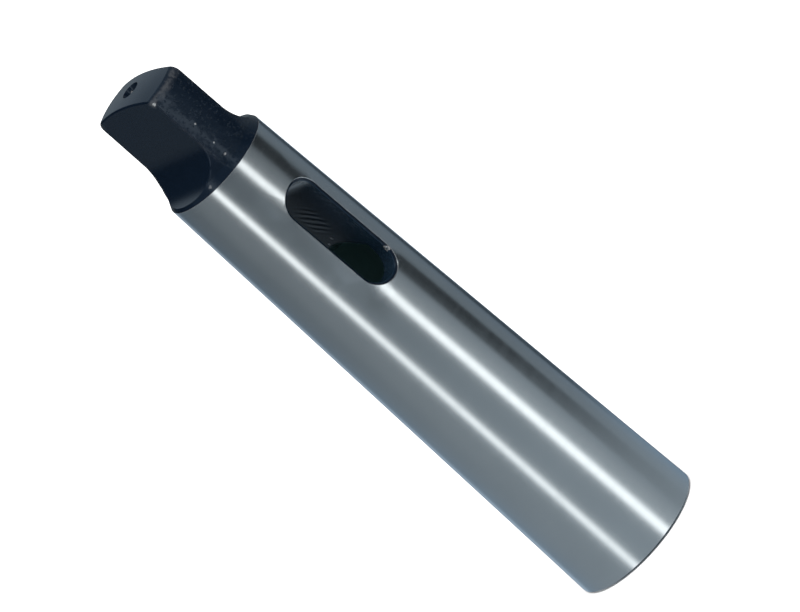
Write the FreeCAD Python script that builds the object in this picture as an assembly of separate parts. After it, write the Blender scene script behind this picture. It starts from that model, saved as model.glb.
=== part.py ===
import FreeCAD, Part
import math
import os

# Morse taper reduction sleeve: No. 3 shank outside, No. 2 socket inside.
# One hardened steel turning, in millimetres.
# The origin is the centre of the mouth face and +Z runs up the axis to the tang,
# so the sleeve stands on its mouth.
# The drift slot passes through along Y. The tang's two flats face +X and -X.

# ---- driving dimensions ----------------------------------------------------
overall_length = 112.0

# outer No. 3 taper
shank_gauge_diameter = 23.825
shank_taper = 1 / 19.922            # diameter lost per millimetre of length
gauge_to_mouth = 18.0               # the cone runs on past its gauge plane
mouth_edge_chamfer = 0.4

# neck and tang
tang_end_length = 18.5              # from the end of the ground cone to the tip
shoulder_step = 0.77                # the neck's radius is this much under the cone's end
shoulder_height = 1.4               # height of the bevel between the two
tang_draft = 0.15                   # radius lost from the neck to the tip
tang_thickness = 7.9
flat_length = 11.4                  # straight part of each flat, measured from the tip
runout_radius = 6.5                 # left by the cutter at the foot of each flat
dome_rise = 1.4                     # the dome's height, over the tang's whole radius
dome_edge_radius = 1.6              # turned where the dome meets the tang's round sides
tang_edge_radius = 0.3              # filed along the edges of the flats

# centre hole in the tip
centre_rim_diameter = 3.35
centre_pilot_diameter = 1.6
centre_pilot_depth = 3.5
centre_angle = 60.0

# inner No. 2 socket
socket_gauge_diameter = 17.780
socket_taper = 1 / 20.020
socket_mouth_chamfer = 0.6
relief_bore_diameter = 14.9
socket_depth = 67.0
drill_point_angle = 118.0

# drift slot
slot_start = 62.2                   # from the mouth face to the slot's near end
slot_length = 22.0
slot_width = 6.9
slot_edge_break = 0.5


# ---- sizes that follow -----------------------------------------------------
def shank_radius(z):
    """Radius of the outer cone at height z."""
    return (shank_gauge_diameter - shank_taper * (z - gauge_to_mouth)) / 2


def socket_radius(z):
    """Radius of the socket's cone at height z."""
    return (socket_gauge_diameter - socket_taper * z) / 2


shoulder_z = overall_length - tang_end_length
neck_radius = shank_radius(shoulder_z) - shoulder_step
tip_radius = neck_radius - tang_draft
corner_z = overall_length - dome_rise
flat_end_z = overall_length - flat_length
slot_end = slot_start + slot_length
relief_start_z = (socket_gauge_diameter - relief_bore_diameter) / socket_taper
mouth_radius = shank_radius(0)
overcut = 1.0                       # cutters reach this far past the metal
near_enough = 0.001                 # how closely an edge must lie on a surface to be on it


# ---- small helpers ---------------------------------------------------------
def vec(x, y, z):
    return FreeCAD.Vector(x, y, z)


def at(radius, z):
    """A point of a half profile, in the XZ plane."""
    return vec(radius, 0, z)


def line(a, b):
    return Part.LineSegment(a, b).toShape()


def arc(a, b, c):
    return Part.Arc(a, b, c).toShape()


def closed_outline(points):
    return Part.Wire([line(a, b) for a, b in zip(points, points[1:] + points[:1])])


def turned(wire):
    """Revolve a closed half profile about the axis."""
    return Part.Face(wire).revolve(vec(0, 0, 0), vec(0, 0, 1), 360)


def milled(wire):
    """Run a closed outline in the XZ plane right through the sleeve along Y."""
    wire.translate(vec(0, -mouth_radius - overcut, 0))
    return Part.Face(wire).extrude(vec(0, 2 * (mouth_radius + overcut), 0))


def drill_point(radius):
    """Height of the cone that a twist drill leaves at the end of a hole."""
    return radius / math.tan(math.radians(drill_point_angle / 2))


def samples(edge):
    """Both ends, the middle and the quarter points of an edge."""
    span = edge.LastParameter - edge.FirstParameter
    return [edge.valueAt(edge.FirstParameter + span * k / 4) for k in range(5)]


def edges_where(shape, test):
    """The edges whose every sampled point passes the test."""
    real = [edge for edge in shape.Edges if not edge.Degenerated]
    return [edge for edge in real if all(test(point) for point in samples(edge))]


# ---- the turned blank ------------------------------------------------------
def outer_blank():
    """The outside before milling: cone, shoulder, neck, tang and domed tip."""
    dome_radius = (tip_radius ** 2 + dome_rise ** 2) / (2 * dome_rise)
    dome_centre_z = overall_length - dome_radius
    dome_middle_z = dome_centre_z + math.sqrt(dome_radius ** 2 - (tip_radius / 2) ** 2)

    axis_foot = at(0, 0)
    mouth_face_edge = at(mouth_radius - mouth_edge_chamfer, 0)
    cone_start = at(shank_radius(mouth_edge_chamfer), mouth_edge_chamfer)
    cone_end = at(shank_radius(shoulder_z), shoulder_z)
    neck_foot = at(neck_radius, shoulder_z + shoulder_height)
    tang_corner = at(tip_radius, corner_z)
    dome_middle = at(tip_radius / 2, dome_middle_z)
    tip = at(0, overall_length)
    blank = turned(Part.Wire([
        line(axis_foot, mouth_face_edge),
        line(mouth_face_edge, cone_start),
        line(cone_start, cone_end),
        line(cone_end, neck_foot),
        line(neck_foot, tang_corner),
        arc(tang_corner, dome_middle, tip),
        line(tip, axis_foot),
    ]))
    dome_rim = edges_where(blank, lambda point: abs(point.z - corner_z) < near_enough)
    return blank.makeFillet(dome_edge_radius, dome_rim)


# ---- the tang --------------------------------------------------------------
def flat_cutter(side):
    """What the mill takes off one side of the tang: a flat that ends in a round run-out."""
    near = tang_thickness / 2
    far = near + runout_radius
    diagonal = runout_radius * math.sqrt(0.5)
    above = overall_length + overcut

    wall_top = vec(side * near, 0, above)
    wall_foot = vec(side * near, 0, flat_end_z)
    runout_middle = vec(side * (far - diagonal), 0, flat_end_z - diagonal)
    runout_foot = vec(side * far, 0, flat_end_z - runout_radius)
    outer_top = vec(side * far, 0, above)
    return milled(Part.Wire([
        line(wall_top, wall_foot),
        arc(wall_foot, runout_middle, runout_foot),
        line(runout_foot, outer_top),
        line(outer_top, wall_top),
    ]))


def on_flat_edge(point):
    """True on the outline of a flat."""
    on_flat = abs(abs(point.x) - tang_thickness / 2) < near_enough
    return on_flat and point.z > flat_end_z - near_enough


def with_tang(blank):
    """Mill both flats and take the sharpness off their edges."""
    body = blank.cut([flat_cutter(1), flat_cutter(-1)])
    flat_feet = edges_where(body, lambda point: abs(point.z - flat_end_z) < near_enough)
    foot_codes = [edge.hashCode() for edge in flat_feet]
    flat_edges = edges_where(body, on_flat_edge)
    sharp = [edge for edge in flat_edges if edge.hashCode() not in foot_codes]
    return body.makeFillet(tang_edge_radius, sharp)


def centre_cutter():
    """The centre that the sleeve was turned and ground on, with its pilot."""
    rim = centre_rim_diameter / 2
    pilot = centre_pilot_diameter / 2
    slope = math.tan(math.radians(centre_angle / 2))
    pilot_foot_z = overall_length - centre_pilot_depth
    return turned(closed_outline([
        at(0, overall_length + overcut),
        at(rim + overcut * slope, overall_length + overcut),
        at(pilot, overall_length - (rim - pilot) / slope),
        at(pilot, pilot_foot_z),
        at(0, pilot_foot_z - drill_point(pilot)),
    ]))


# ---- the socket and the drift slot -----------------------------------------
def socket_cutter():
    """The inside: mouth chamfer, taper, relief bore and the drill point that closes it."""
    bore_radius = relief_bore_diameter / 2
    return turned(closed_outline([
        at(0, -overcut),
        at(socket_radius(0) + socket_mouth_chamfer + overcut, -overcut),
        at(socket_radius(socket_mouth_chamfer), socket_mouth_chamfer),
        at(bore_radius, relief_start_z),
        at(bore_radius, socket_depth),
        at(0, socket_depth + drill_point(bore_radius)),
    ]))


def slot_cutter():
    """The drift slot, with round ends, milled from one side to the other."""
    radius = slot_width / 2
    low = slot_start + radius
    high = slot_end - radius
    return milled(Part.Wire([
        line(vec(radius, 0, low), vec(radius, 0, high)),
        arc(vec(radius, 0, high), vec(0, 0, slot_end), vec(-radius, 0, high)),
        line(vec(-radius, 0, high), vec(-radius, 0, low)),
        arc(vec(-radius, 0, low), vec(0, 0, slot_start), vec(radius, 0, low)),
    ]))


def on_slot_rim(point):
    """True where the slot breaks out through the ground cone."""
    on_cone = abs(math.hypot(point.x, point.y) - shank_radius(point.z)) < near_enough
    in_width = abs(point.x) < slot_width / 2 + near_enough
    in_length = slot_start - near_enough < point.z < slot_end + near_enough
    return on_cone and in_width and in_length


def with_slot(body):
    """Mill the drift slot and bevel both of its rims."""
    slotted = body.cut(slot_cutter())
    return slotted.makeChamfer(slot_edge_break, edges_where(slotted, on_slot_rim))


def taper_sleeve():
    body = with_tang(outer_blank())
    body = body.cut([centre_cutter(), socket_cutter()])
    return with_slot(body)


os.makedirs("parts", exist_ok=True)
taper_sleeve().exportStep("parts/taper_sleeve.step")
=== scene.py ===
"""A No. 3 to No. 2 Morse taper sleeve: black oxide, with the outer cone and the socket ground bright."""

from math import cos, degrees, radians, sin, tau

import bmesh
import bpy
from mathutils import Matrix, Vector

MM = 0.001

# Sizes of the sleeve that its finish follows, in mm in the row frame: +Z from the mouth to the tang
SHANK_START = 0.4
SHANK_END = 93.5
SOCKET_END = 57.5
TANG_HALF_THICKNESS = 3.95
TANG_RADIUS = 9.15
TANG_RIM_RADIUS = 8.7
TANG_RIM_HEIGHT = 110.1
BORE_RADIUS = 7.45
SLOT_HALF_WIDTH = 3.45
SLOT_FOOT = 62.2
SLOT_HEAD = 84.2
SLOT_BEVEL = 0.43
TURNING_PITCH = 0.42
MILLING_PITCH = 1.3

# The tent that the steel mirrors, and the floor, in metres
TENT_RADIUS = 0.34
TENT_STRETCH = 1.5
FLOOR_RADIUS = 12.0
FLOOR_DROP = 0.00002

# Where knocks have bared the steel: x, y, z and reach in mm, and how bare it is. Those on the photographed
# side were located on the model from the photograph and rounded.
NICKS = (
    (-3.85, -8.0, 110.0, 0.50, 0.8),
    (3.45, -9.65, 65.0, 0.85, 1.0),
    (-7.40, -6.2, 94.3, 0.60, 0.12),
    (3.45, -0.7, 70.5, 0.60, 0.25),
    (3.45, 1.1, 69.7, 0.45, 0.35),
    (3.80, 8.1, 109.8, 0.45, 0.6),
    (7.30, 6.3, 94.5, 0.60, 0.2),
    (-3.45, 9.6, 80.5, 0.50, 0.8),
    (-2.1, -8.9, 102.8, 0.35, 0.3),
    (-2.4, -8.9, 98.6, 0.35, 0.3),
    (-2.6, -8.9, 96.0, 0.40, 0.35),
    (0.6, 1.1, 111.0, 0.60, 0.25),
)

# The camera: which way it sees the sleeve, and how far it is rolled
CAMERA_AZIMUTH = -30.8
CAMERA_ELEVATION = 17.6
CAMERA_ROLL = -48.8
CAMERA_DISTANCE = 2.2
CAMERA_LENS = 624.0
SENSOR_WIDTH = 36.0
AIM_HEIGHT = 0.056
AIM_RIGHT = 0.00235
AIM_UP = 0.00116


class Graph:
    """Short calls that add nodes to one node tree. A value is a socket, a number or a tuple."""

    def __init__(self, tree):
        self.tree = tree
        tree.nodes.clear()

    def node(self, kind, *values, **settings):
        """A node with its first inputs fed from values, in order, and its settings made."""
        made = self.tree.nodes.new(kind)
        for name, value in settings.items():
            setattr(made, name, value)
        for socket, value in zip(made.inputs, values):
            self.feed(socket, value)
        return made

    def feed(self, socket, value):
        if isinstance(value, bpy.types.NodeSocket):
            self.tree.links.new(value, socket)
        elif value is not None:
            socket.default_value = value

    def math(self, operation, *values):
        return self.node("ShaderNodeMath", *values, operation=operation).outputs[0]

    def add(self, a, b):
        return self.math("ADD", a, b)

    def sub(self, a, b):
        return self.math("SUBTRACT", a, b)

    def mul(self, a, b):
        return self.math("MULTIPLY", a, b)

    def both(self, a, b):
        return self.math("MINIMUM", a, b)

    def either(self, a, b):
        return self.math("MAXIMUM", a, b)

    def invert(self, a):
        return self.math("SUBTRACT", 1.0, a)

    def ramp(self, value, start, end, low=0.0, high=1.0):
        """Low up to start, then smoothly to high at end."""
        limits = (start, end, low, high)
        return self.node("ShaderNodeMapRange", value, *limits, interpolation_type="SMOOTHSTEP").outputs[0]

    def band(self, value, centre, half_width, soft):
        """1 within half_width of centre, and down to 0 over soft on both sides."""
        away = self.math("ABSOLUTE", self.sub(value, centre))
        return self.ramp(away, half_width + soft, half_width)

    def vector(self, x, y, z):
        return self.node("ShaderNodeCombineXYZ", x, y, z).outputs[0]

    def noise(self, vector, scale, detail=2.0, roughness=0.5):
        """Noise from 0 to 1."""
        node = self.node("ShaderNodeTexNoise")
        inputs = {"Vector": vector, "Scale": scale, "Detail": detail, "Roughness": roughness}
        for name, value in inputs.items():
            self.feed(node.inputs[name], value)
        return node.outputs["Fac"]

    def mix(self, factor, a, b):
        """The colour a at factor 0 and b at factor 1."""
        node = self.node("ShaderNodeMix", data_type="RGBA")
        for socket, value in ((node.inputs[0], factor), (node.inputs[6], a), (node.inputs[7], b)):
            self.feed(socket, value)
        return node.outputs[2]

    def blend(self, factor, a, b):
        """The number a at factor 0 and b at factor 1."""
        node = self.node("ShaderNodeMix", factor)
        self.feed(node.inputs[2], a)
        self.feed(node.inputs[3], b)
        return node.outputs[0]

    def scaled(self, colour, factor):
        node = self.node("ShaderNodeVectorMath", colour, operation="SCALE")
        self.feed(node.inputs["Scale"], factor)
        return node.outputs[0]


class Place:
    """Where a point of the sleeve is, in mm in the row frame, as sockets."""

    def __init__(self, g):
        coordinates = g.node("ShaderNodeTexCoord").outputs["Object"]
        self.vector = g.scaled(coordinates, 1 / MM)
        self.x, self.y, self.z = g.node("ShaderNodeSeparateXYZ", self.vector).outputs
        self.across = g.math("ABSOLUTE", self.x)
        self.radius = g.math("SQRT", g.add(g.mul(self.x, self.x), g.mul(self.y, self.y)))
        safe = g.either(self.radius, 0.01)
        self.turn_x = g.math("DIVIDE", self.x, safe)
        self.turn_y = g.math("DIVIDE", self.y, safe)


def slot_distance(g, place):
    """How far the point is outside the drift slot's outline, seen along Y, in mm."""
    middle = (SLOT_FOOT + SLOT_HEAD) / 2
    straight = (SLOT_HEAD - SLOT_FOOT) / 2 - SLOT_HALF_WIDTH
    along = g.either(g.sub(g.math("ABSOLUTE", g.sub(place.z, middle)), straight), 0.0)
    return g.sub(g.math("SQRT", g.add(g.mul(place.x, place.x), g.mul(along, along))), SLOT_HALF_WIDTH)


def ground_mask(g, place):
    """1 on the ground outer cone and the ground socket, and 0 on all that the grinding wheel left black."""
    uneven = g.mul(g.sub(g.noise(place.vector, 0.9), 0.5), 0.08)
    outside = g.ramp(place.radius, 9.5, 9.6)
    outside = g.both(outside, g.ramp(place.z, SHANK_START, SHANK_START + 0.04))
    outside = g.both(outside, g.ramp(g.add(place.z, uneven), SHANK_END + 0.02, SHANK_END - 0.04))
    off_slot = g.add(slot_distance(g, place), uneven)
    outside = g.both(outside, g.ramp(off_slot, SLOT_BEVEL - 0.03, SLOT_BEVEL + 0.03))
    inside = g.both(g.ramp(place.z, 0.55, 0.65), g.ramp(place.z, SOCKET_END + 0.3, SOCKET_END))
    inside = g.both(inside, g.ramp(place.radius, 9.3, 9.2))
    return g.either(outside, inside)


def grinding_marks(g, place):
    """Two noises drawn out round the axis, from 0 to 1: the wheel's fine marks and broader bands."""
    drawn_fine = g.vector(g.mul(place.turn_x, 2.2), g.mul(place.turn_y, 2.2), g.mul(place.z, 7.0))
    fine = g.noise(drawn_fine, 1.0, 3.0, 0.65)
    drawn_broad = g.vector(g.mul(place.turn_x, 0.8), g.mul(place.turn_y, 0.8), g.mul(place.z, 0.9))
    broad = g.noise(drawn_broad, 1.0)
    return fine, broad


def machining_marks(g, place):
    """Heights in mm of the marks under the oxide: rings where it was turned, ribs where it was milled."""
    wander = g.noise(place.vector, 0.35)
    turned_along = g.add(g.sub(place.z, place.radius), g.mul(wander, 0.5))
    turned = g.mul(g.math("SINE", g.mul(turned_along, tau / TURNING_PITCH)), 0.0010)
    in_slot = g.ramp(slot_distance(g, place), 0.1, 0.05)
    lean = g.blend(in_slot, 0.07, 0.53)
    milled_along = g.add(g.sub(place.z, g.mul(place.y, lean)), g.mul(wander, 0.6))
    ribs = g.math("SINE", g.mul(milled_along, tau / MILLING_PITCH))
    patchy = g.ramp(g.noise(place.vector, 0.22), 0.46, 0.62)
    chatter = g.mul(g.band(place.z, 74.8, 1.2, 2.6), g.band(place.y, -1.0, 1.2, 2.0))
    patchy = g.blend(in_slot, patchy, chatter)
    milled = g.mul(g.mul(ribs, patchy), g.blend(in_slot, 0.003, 0.022))
    on_flat = g.band(place.across, TANG_HALF_THICKNESS, 0.05, 0.05)
    on_flat = g.both(on_flat, g.ramp(place.z, SHANK_END, SHANK_END + 0.5))
    return g.blend(g.either(on_flat, in_slot), turned, milled)


def dents(g, place):
    """Heights in mm of the scale's slow waves and small dents. The milled flats have hardly any."""
    waves = g.mul(g.sub(g.noise(place.vector, 0.7, 1.0), 0.5), 0.11)
    pitted = g.ramp(g.noise(place.vector, 1.7, 2.0, 0.6), 0.58, 0.70, 0.0, -0.060)
    turned = g.ramp(g.sub(place.radius, 7.0), 1.0, 1.6)
    off_flat = g.ramp(place.across, TANG_HALF_THICKNESS - 0.02, TANG_HALF_THICKNESS - 0.10)
    turned = g.both(turned, off_flat)
    return g.mul(g.add(waves, pitted), g.either(turned, 0.08))


def nicks(g, place):
    """How bare the knocks have left the steel, from 0 to 1, with ragged edges."""
    ragged = g.noise(place.vector, 2.6)
    bared = 0.0
    for x, y, z, reach, bareness in NICKS:
        away = g.node("ShaderNodeVectorMath", place.vector, (x, y, z), operation="DISTANCE").outputs["Value"]
        away = g.add(away, g.mul(ragged, reach))
        bared = g.either(bared, g.ramp(away, reach * 1.15, reach * 0.75, 0.0, bareness))
    return bared


def rubbed_edges(g, place):
    """Where the tang's edges are rubbed, from 0 to 1, in patches."""
    x_away = g.sub(place.across, TANG_HALF_THICKNESS)
    side_away = g.sub(place.radius, TANG_RADIUS)
    edge_away = g.math("SQRT", g.add(g.mul(x_away, x_away), g.mul(side_away, side_away)))
    along_flat = g.ramp(edge_away, 0.40, 0.10)
    rim_in = g.sub(place.radius, TANG_RIM_RADIUS)
    rim_up = g.sub(place.z, TANG_RIM_HEIGHT)
    round_rim = g.ramp(g.math("SQRT", g.add(g.mul(rim_in, rim_in), g.mul(rim_up, rim_up))), 1.0, 0.2)
    on_tang = g.ramp(place.z, 94.5, 97.0)
    rubbed = g.mul(g.either(g.mul(along_flat, 0.2), round_rim), on_tang)
    return g.mul(rubbed, g.ramp(g.noise(place.vector, 0.9, 3.0, 0.6), 0.40, 0.65, 0.2, 1.0))


def oxide_with_painted_light(g, place):
    """The oxide's colour and roughness, with painted light: it is painted lighter in the slot, and painted a
    bright grey-green in the drilled bore, in place of the light that comes in through the slot.
    """
    mottle = g.noise(place.vector, 0.7, 4.0, 0.6)
    off_slot = slot_distance(g, place)
    colour = g.mix(mottle, (0.0015, 0.0040, 0.0085, 1), (0.0025, 0.0060, 0.0125, 1))
    # Painted light: the oxide is painted lighter inside the slot, standing in for light falling on the slot's
    # walls.
    colour = g.mix(g.ramp(off_slot, 0.1, 0.05), colour, (0.005, 0.012, 0.021, 1))
    # Painted light: the drilled bore, seen through the slot, is painted a bright grey-green in place of the
    # light that reaches it through the slot.
    painted_light_in_bore = g.both(g.ramp(place.radius, BORE_RADIUS + 0.1, BORE_RADIUS + 0.05), g.ramp(place.z, 72.0, 71.0))
    painted_light_in_bore = g.both(painted_light_in_bore, g.ramp(off_slot, 0.05, 0.15))
    colour = g.mix(painted_light_in_bore, colour, (0.036, 0.078, 0.080, 1))
    return colour, g.add(0.15, g.mul(mottle, 0.14))


def steel_and_oxide():
    """Ground steel where the wheel has passed, and black oxide elsewhere, with the marks of each, and painted
    light in the slot and the drilled bore.
    """
    material = bpy.data.materials.new("steel_oxide_painted_light_finish")
    material.use_nodes = True
    g = Graph(material.node_tree)
    place = Place(g)
    ground = ground_mask(g, place)

    fine, broad = grinding_marks(g, place)
    clouds = g.noise(place.vector, 0.09, 2.0)
    tone = g.add(g.add(0.93, g.mul(fine, 0.08)), g.mul(g.sub(clouds, 0.5), 0.10))
    steel = g.scaled((0.56, 0.57, 0.575), tone)
    steel_rough = g.add(g.add(0.19, g.mul(fine, 0.05)), g.mul(g.sub(broad, 0.5), 0.06))

    # The oxide colour carries painted light: painted lighter in the slot and a bright grey-green in the bore.
    oxide_colour_and_painted_light, oxide_rough = oxide_with_painted_light(g, place)
    relief = g.add(machining_marks(g, place), dents(g, place))
    bare = g.either(g.mul(rubbed_edges(g, place), 0.06), nicks(g, place))
    bright = g.either(ground, bare)
    bump = g.node("ShaderNodeBump")
    bump.inputs["Strength"].default_value = 1.0
    bump.inputs["Distance"].default_value = MM
    g.feed(bump.inputs["Height"], g.blend(ground, relief, g.mul(fine, 0.0004)))

    shader = g.node("ShaderNodeBsdfPrincipled")
    g.feed(shader.inputs["Base Color"], g.mix(bright, oxide_colour_and_painted_light, steel))
    g.feed(shader.inputs["Metallic"], bright)
    g.feed(shader.inputs["Roughness"], g.blend(bright, oxide_rough, steel_rough))
    g.feed(shader.inputs["Normal"], bump.outputs[0])
    shader.inputs["IOR"].default_value = 1.35
    shader.inputs["Specular Tint"].default_value = (0.74, 0.86, 1.0, 1)
    g.node("ShaderNodeOutputMaterial", shader.outputs[0])
    return material


def pale_floor():
    """A wide floor at the sleeve's mouth, as one round face."""
    mesh = bpy.data.meshes.new("floor")
    shape = bmesh.new()
    bmesh.ops.create_circle(shape, cap_ends=True, segments=96, radius=FLOOR_RADIUS)
    shape.to_mesh(mesh)
    shape.free()
    floor = bpy.data.objects.new("floor", mesh)
    floor.location.z = -FLOOR_DROP
    floor.visible_glossy = False
    bpy.context.scene.collection.objects.link(floor)
    material = bpy.data.materials.new("pale_floor")
    material.use_nodes = True
    g = Graph(material.node_tree)
    where = g.node("ShaderNodeTexCoord").outputs["Object"]
    colour = g.mix(g.noise(where, 3.0), (0.90, 0.90, 0.90, 1), (0.92, 0.92, 0.92, 1))
    g.node("ShaderNodeOutputMaterial", g.node("ShaderNodeBsdfDiffuse", colour).outputs[0])
    mesh.materials.append(material)


def light_tent():
    """The tent that the steel mirrors: grey cloth with bright strips and dark gaps, in reflections only.

    Its light is placed by the turn on the sleeve's side, in degrees from the side nearest the camera,
    at which the camera sees it mirrored: twice that turn round the tent.
    """
    mesh = bpy.data.meshes.new("light_tent")
    shape = bmesh.new()
    bmesh.ops.create_uvsphere(shape, u_segments=96, v_segments=48, radius=TENT_RADIUS)
    bmesh.ops.scale(shape, vec=(1.0, 1.0, TENT_STRETCH), verts=shape.verts)
    shape.to_mesh(mesh)
    shape.free()
    tent = bpy.data.objects.new("light_tent", mesh)
    tent.rotation_euler.z = radians(CAMERA_AZIMUTH - 90.0)
    for sight in ("camera", "diffuse", "transmission", "volume_scatter", "shadow"):
        setattr(tent, "visible_" + sight, False)
    bpy.context.scene.collection.objects.link(tent)
    material = bpy.data.materials.new("tent_light")
    material.use_nodes = True
    material.cycles.emission_sampling = "NONE"
    g = Graph(material.node_tree)
    x, y, z = g.node("ShaderNodeSeparateXYZ", g.node("ShaderNodeTexCoord").outputs["Object"]).outputs
    turn = g.mul(g.math("ARCTAN2", y, x), degrees(1) / 2)
    behind = g.math("ABSOLUTE", turn)
    up = g.mul(z, 1 / MM)

    left = g.ramp(up, -95.0, 10.0, 0.375, 0.20)
    middle = g.ramp(up, -62.0, 8.0, 0.40, 0.165)
    right = g.ramp(up, -92.0, -74.0, 0.42, 0.255)
    base = g.blend(g.ramp(turn, -30.0, -22.0), left, middle)
    base = g.blend(g.ramp(turn, 50.0, 56.0), base, right)
    base = g.blend(g.ramp(behind, 75.0, 85.0), base, g.ramp(up, 20.0, 320.0, 0.18, 0.66))
    base = g.add(base, g.ramp(up, -112.0, -150.0, 0.0, 0.35))
    gap = g.mul(g.band(turn, 44.6, 6.5, 2.2), g.ramp(up, -81.0, -70.0))
    gap = g.mul(gap, g.ramp(up, -25.0, -50.0, 0.80, 0.87))
    line = g.mul(g.band(turn, 48.0, 1.8, 3.0), g.ramp(up, -20.0, -40.0, 0.0, 0.7))
    line = g.mul(line, g.ramp(up, -81.0, -72.0))
    edge = g.mul(g.band(turn, 75.0, 3.5, 2.5), g.ramp(up, -89.0, -83.0, 0.0, 0.72))
    edge = g.mul(edge, g.ramp(up, 60.0, 20.0))
    shade = g.mul(g.band(turn, -62.0, 12.0, 6.0), g.ramp(up, 40.0, 110.0, 0.0, 0.93))
    for dark in (gap, line, edge, shade):
        base = g.mul(base, g.invert(dark))
    strips = g.mul(g.band(turn, 15.5, 2.1, 2.6), 1.75)
    strips = g.add(strips, g.mul(g.band(turn, 22.0, 1.0, 16.0), 0.10))
    strips = g.add(strips, g.mul(g.band(turn, -18.4, 0.9, 3.3), g.ramp(up, -12.0, 9.0, 1.62, 2.4)))
    edges = g.add(g.mul(g.band(turn, -79.0, 1.5, 6.0), 0.35), g.mul(g.band(behind, 90.0, 3.5, 4.0), 0.45))
    edges = g.add(edges, g.mul(g.band(turn, 85.0, 2.0, 3.0), g.ramp(up, -62.0, -45.0, 0.0, 0.5)))
    strips = g.add(strips, g.mul(edges, g.ramp(up, 14.0, 2.0)))
    strips = g.add(strips, g.mul(g.band(turn, -33.0, 4.0, 14.0), g.ramp(up, -80.0, -45.0, 0.0, 0.05)))
    colour = g.scaled((0.78, 0.94, 1.06), base)
    lit = g.scaled((0.96, 1.0, 1.0), strips)
    colour = g.node("ShaderNodeVectorMath", colour, lit, operation="ADD").outputs[0]
    g.node("ShaderNodeOutputMaterial", g.node("ShaderNodeEmission", colour, 1.0).outputs[0])
    mesh.materials.append(material)


def studio_light():
    """An even white surround and one large soft light overhead. Only the tent is mirrored."""
    world = bpy.data.worlds.new("studio")
    bpy.context.scene.world = world
    world.use_nodes = True
    world.node_tree.nodes["Background"].inputs["Color"].default_value = (1.0, 1.0, 1.0, 1)
    world.node_tree.nodes["Background"].inputs["Strength"].default_value = 1.0
    world.cycles_visibility.glossy = False
    lamp = bpy.data.lights.new("overhead", "AREA")
    lamp.shape = "DISK"
    lamp.size = 1.6
    lamp.energy = 30.0
    overhead = bpy.data.objects.new("overhead", lamp)
    overhead.location = (-0.3, -0.5, 1.5)
    overhead.rotation_euler = (Vector((0, 0, 0)) - overhead.location).to_track_quat("-Z", "Y").to_euler()
    overhead.visible_glossy = False
    bpy.context.scene.collection.objects.link(overhead)


def camera():
    """The camera, from its azimuth and elevation round the sleeve, rolled about its own line of sight."""
    azimuth = radians(CAMERA_AZIMUTH)
    elevation = radians(CAMERA_ELEVATION)
    roll = radians(CAMERA_ROLL)
    back = Vector((sin(azimuth) * cos(elevation), -cos(azimuth) * cos(elevation), sin(elevation)))
    level = (-back).cross(Vector((0, 0, 1))).normalized()
    upright = level.cross(-back)
    right = level * cos(roll) + upright * sin(roll)
    up = upright * cos(roll) - level * sin(roll)
    aim = Vector((0, 0, AIM_HEIGHT)) + right * AIM_RIGHT + up * AIM_UP
    data = bpy.data.cameras.new("camera")
    data.lens = CAMERA_LENS
    data.sensor_width = SENSOR_WIDTH
    data.clip_start = 0.1
    data.clip_end = 60.0
    made = bpy.data.objects.new("camera", data)
    turned = Matrix((right, up, back)).transposed().to_4x4()
    made.matrix_world = Matrix.Translation(aim + back * CAMERA_DISTANCE) @ turned
    bpy.context.scene.collection.objects.link(made)
    bpy.context.scene.camera = made


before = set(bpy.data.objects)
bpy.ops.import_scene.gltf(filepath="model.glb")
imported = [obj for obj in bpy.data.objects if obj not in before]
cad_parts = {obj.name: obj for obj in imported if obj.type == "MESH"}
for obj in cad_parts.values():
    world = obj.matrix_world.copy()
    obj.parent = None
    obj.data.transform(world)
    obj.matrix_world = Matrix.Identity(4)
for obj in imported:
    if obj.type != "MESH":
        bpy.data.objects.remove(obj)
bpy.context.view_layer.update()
finish = steel_and_oxide()
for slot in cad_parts["taper_sleeve"].material_slots:
    slot.material = finish
pale_floor()
light_tent()
studio_light()
camera()
bpy.context.scene.view_settings.view_transform = "Standard"
